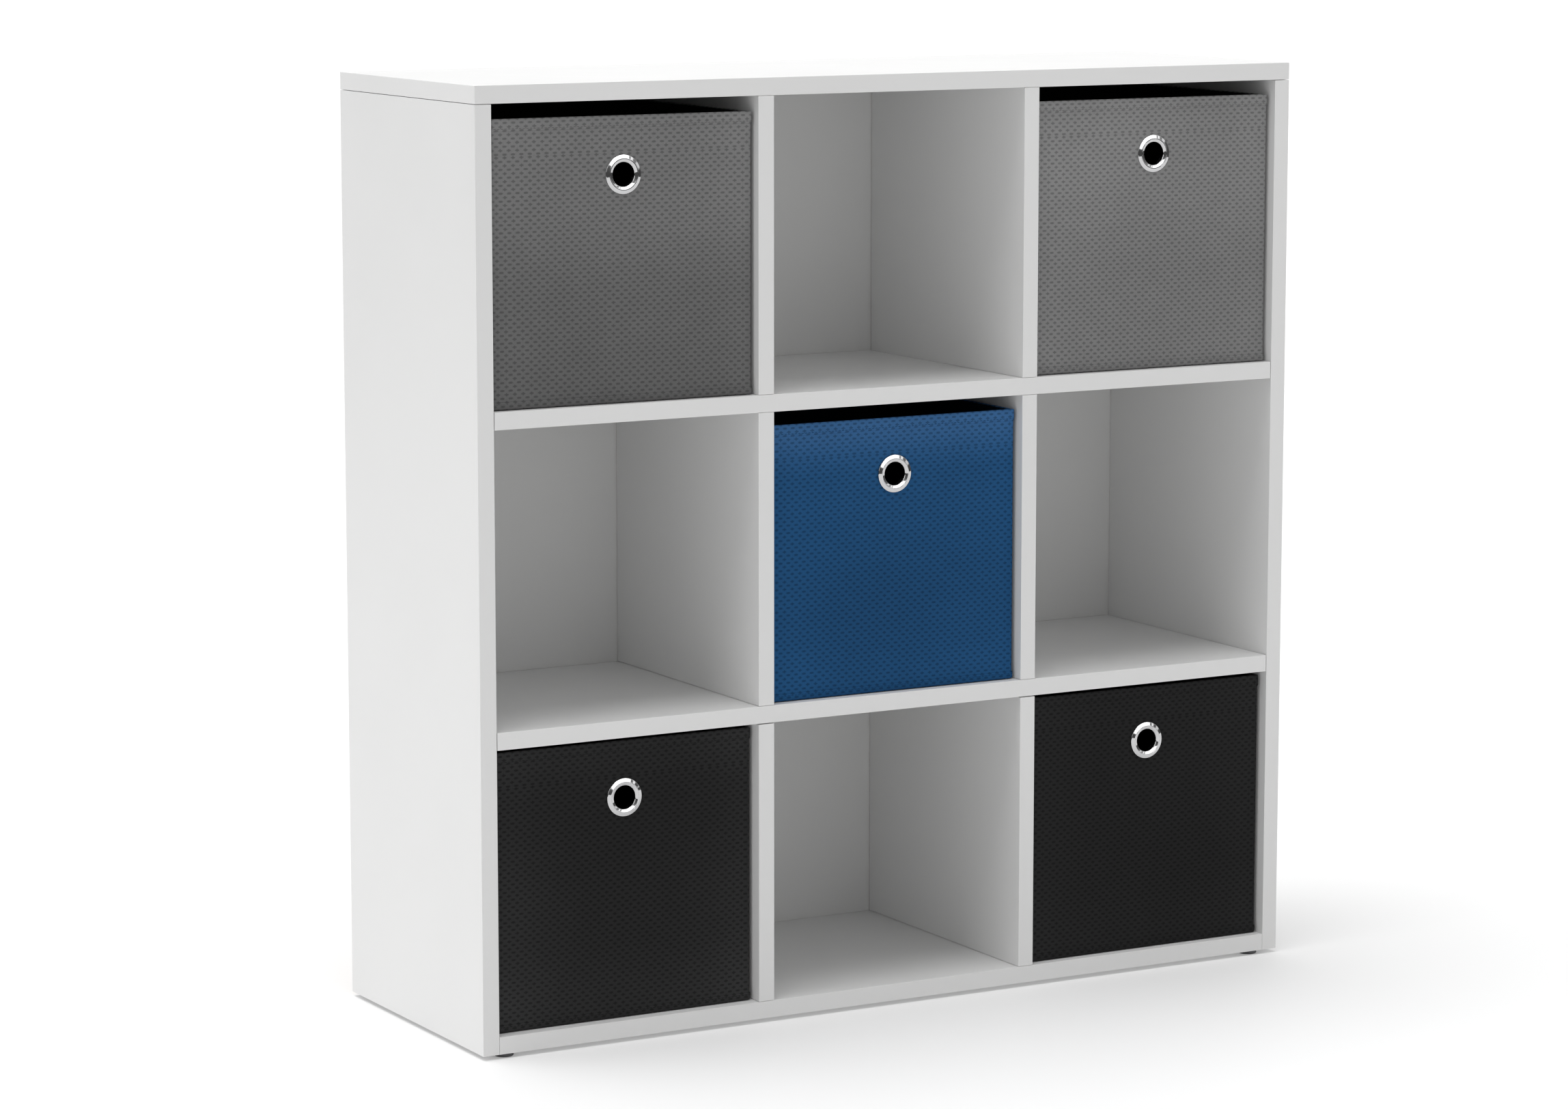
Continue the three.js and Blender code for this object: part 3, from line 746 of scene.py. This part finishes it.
def add_back_pins():
    """Small pins that hold the back board in its rebate, in one piece."""
    low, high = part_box("back_panel")
    inset = PIN_INSET * MM
    spots = []
    for start, end in (
        ((low.x, low.z), (high.x, low.z)), ((low.x, high.z), (high.x, high.z)),
        ((low.x, low.z), (low.x, high.z)), ((high.x, low.z), (high.x, high.z)),
    ):
        for i in range(PINS_PER_SIDE):
            spot = Vector(start).lerp(Vector(end), (i + 0.5) / PINS_PER_SIDE)
            x = min(max(spot.x, low.x + inset), high.x - inset)
            z = min(max(spot.y, low.z + inset), high.z - inset)
            spots.append((x, z))
    whole = bmesh.new()
    outline = [(0.1, -1.6), (0.7, -1.6), (0.7, 0.0), (1.6, 0.0), (1.6, 0.25), (1.2, 0.45), (0.1, 0.5)]
    for x, z in spots:
        pin = turned("pin", outline, 20)
        pin.transform(turn_to((0, 1, 0), (x, high.y, z)))
        whole.from_mesh(pin)
    mesh = bpy.data.meshes.new("back_panel_pins")
    whole.to_mesh(mesh)
    whole.free()
    smooth(mesh)
    steel = metal("pin_steel", (0.52, 0.50, 0.47), 0.35, 1800, 0.02)
    finish_piece(new_object("back_panel_pins", mesh, steel), "carcass", "bolt_steel")


# Fabric boxes. A box is drawn in millimetres from the middle of its underside and then put in place.

class Plan:
    """The outline of a box from above: a rectangle with round corners, walked from its left rear one."""

    def __init__(self, half_width, half_depth):
        self.half_width = half_width
        self.half_depth = half_depth

    def loop(self, offset):
        """Points (x, y) round the wall's outer face, moved outward by an offset."""
        a, b = self.half_width + offset, self.half_depth + offset
        r = max(CORNER_RADIUS + offset, 0.4)
        corners = ((r - a, r - b, 180), (a - r, r - b, 270), (a - r, b - r, 0), (r - a, b - r, 90))
        arcs = [arc((x, y), r, turn, turn + 90, CORNER_STEPS) for x, y, turn in corners]
        points = []
        for i, bend in enumerate(arcs):
            start = arcs[i - 1][-1]
            for k in range(1, RUN_STEPS):
                share = k / RUN_STEPS
                points.append(tuple(a + (b - a) * share for a, b in zip(start, bend[0])))
            points += bend
        return points

    def lengths(self):
        """How far along the walls each point is, and once more round to the first."""
        points = self.loop(0.0)
        total = [0.0]
        for here, there in zip(points, points[1:] + points[:1]):
            total.append(total[-1] + math.dist(here, there))
        return total


def wall_stations(height):
    """(offset, height, how freely the wall may belly) up the outside, over the rim and down the inside."""
    hem_low = height - RIM_HEM
    crease = height - CUFF
    # The underside stands clear of the shelf round a flat base, and the foot's hem has its stitched dip.
    foot = [(-9.5, 0.0), (-9.0, 0.08), (-8.6, 0.32), (-8.0, 0.4), (-0.9, 0.4), (-0.2, 0.5), (0.5, 1.0)]
    foot += [(0.88, 1.9), (HEM_PROUD, 3.0), (HEM_PROUD, FOOT_HEM - 3.2), (0.82, FOOT_HEM - 2.4)]
    foot += [(0.82, FOOT_HEM - 1.9), (0.96, FOOT_HEM - 1.2), (0.9, FOOT_HEM - 0.4)]
    foot += [(0.6, FOOT_HEM - 0.05), (0.05, FOOT_HEM + 0.1)]
    # The wall, with the cuff's crease across it.
    wall = []
    level = FOOT_HEM + 1.5
    while level < hem_low - 2.0:
        wall.append((0.0, level, 1.0))
        if level < crease - 0.9 < level + WALL_STEP:
            wall += [(0.0, crease - 0.9, 1.0), (-0.22, crease, 1.0), (0.05, crease + 0.7, 1.0)]
            level = crease + 1.5
        else:
            level += WALL_STEP
    wall += [(0.0, hem_low - 1.0, 1.0), (0.02, hem_low - 0.15, 0.6)]
    # The rim's hem with its stitched dip, and the rounded rim.
    rim = [(0.6, hem_low), (0.9, hem_low + 0.35), (0.98, hem_low + 1.1), (0.82, hem_low + 1.8)]
    rim += [(0.82, hem_low + 2.3), (HEM_PROUD, hem_low + 3.1), (HEM_PROUD, height - 5.0)]
    rim += [(HEM_PROUD, height - 1.6), (0.85, height - 0.7), (0.4, height - 0.15), (-0.4, height)]
    rim += [(-1.6, height), (-2.4, height - 0.15), (-2.85, height - 0.7), (-WALL, height - 1.6)]
    inside = [(-WALL, height - 6.0 - 20.0 * i, 1.0) for i in range(int((height - 14) / 20))]
    inside += [(-WALL, WALL + 4.0, 0.3), (-WALL - 0.3, WALL + 1.0, 0.0), (-WALL - 1.2, WALL, 0.0)]
    return [(*spot, 0.0) for spot in foot] + wall + [(*spot, 0.0) for spot in rim] + inside


def belly(x, y, z, plan, height, seed):
    """How far the wall stands in or out at a point: a board behind fabric is never quite flat."""
    front_or_rear = abs(y) > abs(x) * plan.half_depth / plan.half_width
    across = min(1.0, abs(x) / plan.half_width if front_or_rear else abs(y) / plan.half_depth)
    up = abs(2 * z / height - 1.0)
    slack = (1 - across ** 2) * (1 - up ** 4)
    wave = noise.noise(Vector((x / 90.0 + seed, y / 90.0, z / 90.0)))
    return slack * (-0.35 + 0.9 * wave)


def shell_mesh(name, plan, height, seed):
    """The sewn shell: outside, rim, inside and base in one closed skin, with its weave mapped in metres."""
    stations = wall_stations(height)
    lengths = plan.lengths()
    shape = bmesh.new()
    weave = shape.loops.layers.uv.new("weave")
    rows = []
    for offset, level, free in stations:
        row = []
        for x, y in plan.loop(offset):
            push = free * belly(x, y, level, plan, height, seed)
            side = abs(x) / plan.half_width > abs(y) / plan.half_depth
            out = Vector((math.copysign(1, x), 0, 0)) if side else Vector((0, math.copysign(1, y), 0))
            row.append(shape.verts.new((Vector((x, y, level)) + out * push) * MM))
        rows.append(row)
    rim = max(range(len(stations)), key=lambda i: stations[i][1] + 0.001 * i)
    for k in range(len(rows) - 1):
        for i in range(len(rows[k])):
            j = (i + 1) % len(rows[k])
            face = shape.faces.new((rows[k][i], rows[k][j], rows[k + 1][j], rows[k + 1][i]))
            # Faces inside the box, from the rim's inner rounding down, take the near-black lining: painted
            # shade.
            face.material_index = 0 if k < rim + 2 else 1
            spans = ((lengths[i], k), (lengths[i + 1], k), (lengths[i + 1], k + 1), (lengths[i], k + 1))
            for loop, (along, row) in zip(face.loops, spans):
                loop[weave].uv = (along * MM, stations[row][1] * MM)
    for row, material in ((rows[0][::-1], 0), (rows[-1], 1)):
        face = shape.faces.new(row)
        face.material_index = material
        for loop in face.loops:
            loop[weave].uv = (loop.vert.co.x, loop.vert.co.y)
    mesh = bpy.data.meshes.new(name)
    shape.to_mesh(mesh)
    shape.free()
    return mesh


def stitches_mesh(name, plan, height):
    """A line of single stitches round the rim's hem and one round the foot's hem."""
    shape = bmesh.new()
    for level in (height - RIM_HEM + 2.05, FOOT_HEM - 2.15):
        outline = plan.loop(0.82)
        ring = outline + outline[:1]
        travelled = 0.0
        due = STITCH_PITCH / 2
        for (x0, y0), (x1, y1) in zip(ring, ring[1:]):
            step = math.dist((x0, y0), (x1, y1))
            while due < travelled + step:
                share = (due - travelled) / step
                along = Vector((x1 - x0, y1 - y0, 0)).normalized()
                spot = Vector((x0 + (x1 - x0) * share, y0 + (y1 - y0) * share, level))
                add_stitch(shape, spot, along)
                due += STITCH_PITCH
            travelled += step
    mesh = bpy.data.meshes.new(name)
    shape.to_mesh(mesh)
    shape.free()
    smooth(mesh, 60)
    return mesh


def add_stitch(shape, spot, along):
    """One stitch: a plump thread that dives into the fabric at both ends."""
    out = Vector((along.y, -along.x, 0))
    up = Vector((0, 0, 1))
    sides = 6
    rows = []
    half = [(0.5, -0.30, 0.55), (0.34, 0.02, 1.0)]
    spans = [(-share, lift, swell) for share, lift, swell in half] + [(0.0, 0.12, 1.05)] + half[::-1]
    for share, lift, swell in spans:
        middle = spot + along * (share * STITCH_LENGTH) + out * lift
        row = []
        for i in range(sides):
            turn = 2 * math.pi * i / sides
            spoke = (out * math.cos(turn) + up * math.sin(turn)) * (STITCH_RADIUS * swell)
            row.append(shape.verts.new((middle + spoke) * MM))
        rows.append(row)
    for low, high in zip(rows, rows[1:]):
        for i in range(sides):
            j = (i + 1) % sides
            shape.faces.new((low[i], high[i], high[j], low[j]))
    shape.faces.new(rows[0])
    shape.faces.new(rows[-1][::-1])


def eyelet_outline():
    """The pressed ring: an outer and an inner cone that meet at a grooved crown, and a rolled barrel."""
    outline = [(12.2, -5.2), (15.4, -5.25), (15.9, -4.9), (15.9, -4.5), (13.2, -4.4), (13.2, 0.3)]
    outline += [(19.5, 0.3), (19.75, 0.45), (19.72, 0.72), (19.5, 0.92), (19.3, 1.0), (19.1, 1.07)]
    outline += [(16.6, 1.94), (16.4, 2.01), (16.15, 2.08), (15.95, 2.06), (15.8, 1.85), (15.6, 1.85)]
    outline += [(15.45, 2.06), (15.25, 2.08), (15.0, 2.0), (14.8, 1.92), (13.0, 1.16), (12.8, 1.07)]
    return outline + [(12.5, 0.86), (12.28, 0.5), (12.2, 0.0)]


def washer_outline():
    """The flat washer behind the wall, with soft edges."""
    outline = [(13.5, -4.0), (13.7, -4.1), (18.2, -4.1), (18.5, -3.9)]
    return outline + [(18.4, -3.45), (17.6, -3.32), (13.6, -3.32), (13.5, -3.4)]


def add_insert(name, material):
    """The loose base board, wrapped in black fabric: soft edges and round corners."""
    low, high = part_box(f"{name}_base_insert")
    middle = (low + high) / 2
    thick = (high.z - low.z) / MM
    plan = Plan((high.x - low.x) / 2 / MM, (high.y - low.y) / 2 / MM)
    soft = [(-1.2, 0.0), (-0.5, 0.15), (-0.1, 0.6), (0.0, thick / 2), (-0.1, thick - 0.6)]
    soft += [(-0.5, thick - 0.15), (-1.2, thick), (-6.0, thick), (-7.0, thick - 0.35), (-8.0, thick)]
    shape = bmesh.new()
    weave = shape.loops.layers.uv.new("weave")
    rows = []
    for offset, level in soft:
        rows.append([shape.verts.new(Vector((x, y, level)) * MM) for x, y in plan.loop(offset)])
    for k in range(len(rows) - 1):
        for i in range(len(rows[k])):
            j = (i + 1) % len(rows[k])
            shape.faces.new((rows[k][i], rows[k][j], rows[k + 1][j], rows[k + 1][i]))
    shape.faces.new(rows[0][::-1])
    shape.faces.new(rows[-1])
    for face in shape.faces:
        for loop in face.loops:
            loop[weave].uv = (loop.vert.co.x, loop.vert.co.y)
    mesh = bpy.data.meshes.new(f"{name}_base_board")
    shape.to_mesh(mesh)
    shape.free()
    smooth(mesh)
    mesh.transform(Matrix.Translation((middle.x, middle.y, low.z)))
    piece = new_object(f"{name}_base_board", mesh, material)
    finish_piece(piece, f"{name}_insert", "insert_board", f"{name}_base_insert")


def add_box(name, cloth_slot, seed, plating):
    """One fabric box, built round its CAD shell, with its stitching, eyelet and washer."""
    low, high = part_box(f"{name}_shell")
    middle = (low + high) / 2
    height = (high.z - low.z) / MM
    plan = Plan((high.x - low.x) / 2 / MM - HEM_PROUD, (high.y - low.y) / 2 / MM - HEM_PROUD)
    to_place = Matrix.Translation((middle.x, middle.y, low.z))
    ring_low, ring_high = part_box(f"{name}_eyelet_ring")
    ring_middle = (ring_low + ring_high) / 2
    at = Vector((ring_middle.x, low.y + HEM_PROUD * MM, ring_middle.z))

    # Where the box's painted sheen towards its sides sits, and how strong it is.
    sides = (middle.x, (high.x - low.x) / 2, EDGE_SHEENS[name])
    outside = fabric(f"{name}_fabric", DYES_AND_LIGHT[name], seed, height * MM, PAINTED_WALL_SHADES[name], MARKS[name], sides)
    # The lining is painted near black, as shade.
    shaded_lining = fabric(f"{name}_lining", SHADED_LININGS[name], seed + 5, height * MM)
    skin = shell_mesh(f"{name}_fabric_shell", plan, height, seed)
    shell = new_object(f"{name}_fabric_shell", skin, outside, shaded_lining)
    shell.data.transform(to_place)
    hole = turned("finger_hole", [(0.3, -9.0), (13.6, -9.0), (13.6, 9.0), (0.3, 9.0)], 72)
    hole.transform(turn_to((0, -1, 0), at))
    cut(shell, hole)
    smooth(shell.data, 40)
    finish_piece(shell, name, cloth_slot, f"{name}_shell")

    seams = stitches_mesh(f"{name}_stitching", plan, height)
    seams.transform(to_place)
    twine = thread(f"{name}_thread", tuple(c * 0.7 for c in DYES_AND_LIGHT[name]))
    finish_piece(new_object(f"{name}_stitching", seams, twine), name, cloth_slot)

    for part, outline, facets in (("ring", eyelet_outline(), 128), ("washer", washer_outline(), 96)):
        mesh = turned(f"{name}_eyelet_{part}_plated", outline, facets, closed=True)
        mesh.transform(turn_to((0, -1, 0), at))
        piece = new_object(f"{name}_eyelet_{part}_plated", mesh, plating)
        finish_piece(piece, name, "eyelet_metal", f"{name}_eyelet_{part}")


def add_boxes():
    plating = chrome()
    cover = fabric("insert_fabric", (0.012, 0.012, 0.013), 21, 10.0)
    for seed, (name, cloth_slot) in enumerate(BOXES.items()):
        add_box(name, cloth_slot, seed, plating)
        add_insert(name, cover)


# Studio.

def add_floor():
    """A pale round floor with a faint glow of its own, which keeps the gap under the carcass soft."""
    shape = bmesh.new()
    bmesh.ops.create_circle(shape, cap_ends=True, segments=128, radius=FLOOR_RADIUS)
    mesh = bpy.data.meshes.new("floor")
    shape.to_mesh(mesh)
    shape.free()
    tree = material_tree("pale_floor")
    tree.surface(Base_Color=FLOOR_COLOUR, Roughness=0.6, Specular_IOR_Level=0.2)
    tree.surface(Emission_Color=(1.0, 1.0, 1.0), Emission_Strength=FLOOR_GLOW)
    floor = new_object("floor", mesh, tree.owner)


def add_key():
    """A broad soft key from the upper left, a little behind the unit."""
    lamp = bpy.data.lights.new("key", "SUN")
    lamp.energy = KEY_STRENGTH
    lamp.angle = KEY_SOFTNESS
    holder = bpy.data.objects.new("key", lamp)
    holder.rotation_mode = "QUATERNION"
    holder.rotation_quaternion = Vector(KEY_DIRECTION).to_track_quat("Z", "Y")
    bpy.context.scene.collection.objects.link(holder)


def softbox(tree, direction, aim, half_width, low, high, level):
    """A soft-edged lit panel, as reflections see it, between two elevations at a bearing."""
    aim = Vector(aim).normalized()
    beside = Vector((-aim.y, aim.x, 0.0))
    across = tree.math("ABSOLUTE", tree.dot(direction, beside))
    rise = tree.split(direction)[2]
    panel = tree.range(across, half_width, half_width + 0.03, 1.0, 0.0)
    panel = tree.math("MULTIPLY", panel, tree.range(rise, low, low + 0.04, 0.0, 1.0))
    panel = tree.math("MULTIPLY", panel, tree.range(rise, high, high + 0.06, 1.0, 0.0))
    panel = tree.math("MULTIPLY", panel, tree.math("GREATER_THAN", tree.dot(direction, aim), 0.0))
    return tree.math("MULTIPLY", panel, level)


def add_world():
    """A pale room. The background is plain white, and reflections see lit panels in a darker room."""
    tree = Tree(bpy.data.worlds.new("studio"), "ShaderNodeBackground", "ShaderNodeOutputWorld")
    bpy.context.scene.world = tree.owner
    direction = tree.nodes.new("ShaderNodeTexCoord").outputs["Generated"]
    rise = tree.split(direction)[2]
    aim, start, full, level = SIDE_LIGHT
    ambient = tree.range(rise, 0.0, 0.9, AMBIENT_LOW, AMBIENT_HIGH)
    ambient = tree.math("ADD", ambient, tree.range(tree.dot(direction, aim), start, full, 0.0, level))
    ambient = tree.number_mix(tree.math("LESS_THAN", rise, 0.0), ambient, AMBIENT_BELOW)
    room = tree.steps(tree.math("MAXIMUM", rise, 0.0), ROOM_RISES, ROOM_LEVELS)
    for panel in PANELS:
        room = tree.math("ADD", room, softbox(tree, direction, *panel))
    path = tree.nodes.new("ShaderNodeLightPath")
    level = tree.number_mix(path.outputs["Is Glossy Ray"], ambient, room)
    level = tree.number_mix(path.outputs["Is Camera Ray"], level, BACKDROP)
    tree.shader.inputs["Color"].default_value = (1.0, 1.0, 1.0, 1.0)
    tree.feed(tree.shader.inputs["Strength"], level)


def add_camera():
    """A long lens at the photo's angle."""
    data = bpy.data.cameras.new("camera")
    data.sensor_width = SENSOR_WIDTH
    data.lens = CAMERA_LENS
    data.clip_end = 200.0
    camera = bpy.data.objects.new("camera", data)
    camera.location = CAMERA_PLACE
    camera.rotation_euler = (math.pi / 2 + CAMERA_PITCH, 0.0, -CAMERA_YAW)
    bpy.context.scene.collection.objects.link(camera)
    bpy.context.scene.camera = camera


def add_studio():
    add_world()
    add_floor()
    add_key()
    add_camera()
    bpy.context.scene.view_settings.view_transform = "Standard"


add_studio()
dress_boards()
add_glides()
add_fittings()
add_back_pins()
add_boxes()
